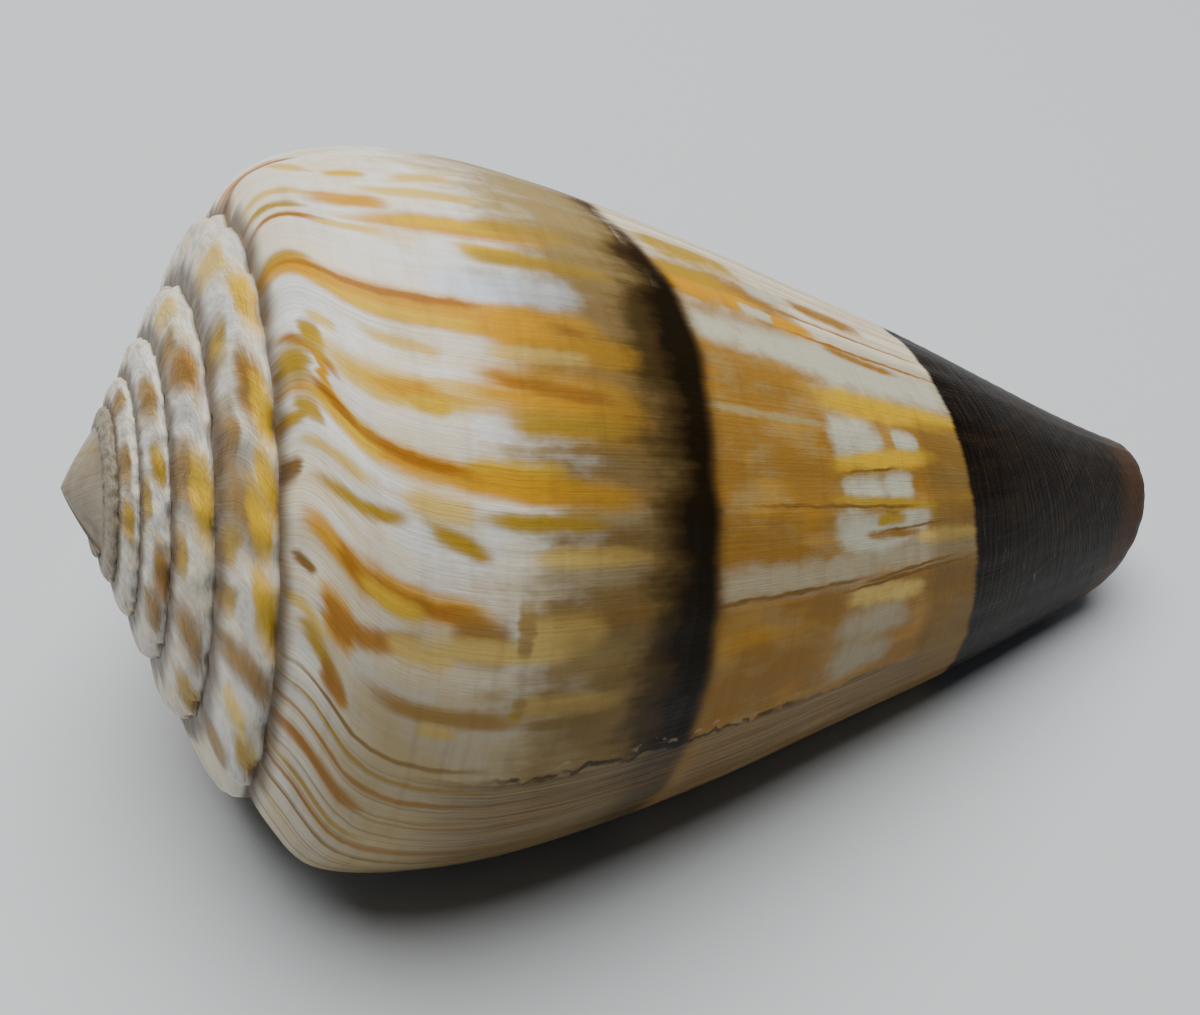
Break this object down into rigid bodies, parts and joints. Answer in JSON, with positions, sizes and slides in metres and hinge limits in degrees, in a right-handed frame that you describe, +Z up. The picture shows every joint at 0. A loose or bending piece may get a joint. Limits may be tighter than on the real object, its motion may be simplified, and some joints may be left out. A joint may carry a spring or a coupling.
{
  "type": "cone shell",
  "caption": "Adult cone shell lying on its aperture side: low coiled spire, round-shouldered conical body whorl, dark spiral band, dark base and a long narrow aperture.",
  "frame": {"origin": "on the floor, under the centre of the shell's box", "axes": "+X along the shell's length from the apex to the tip of the base, +Z up, aperture side down"},
  "size_m": [0.0794, 0.0416, 0.0384],
  "materials": {
    "shell": "satin, natural gloss"
  },
  "bodies": {
    "root": {"shell": "shell"}
  },
  "joints": []
}
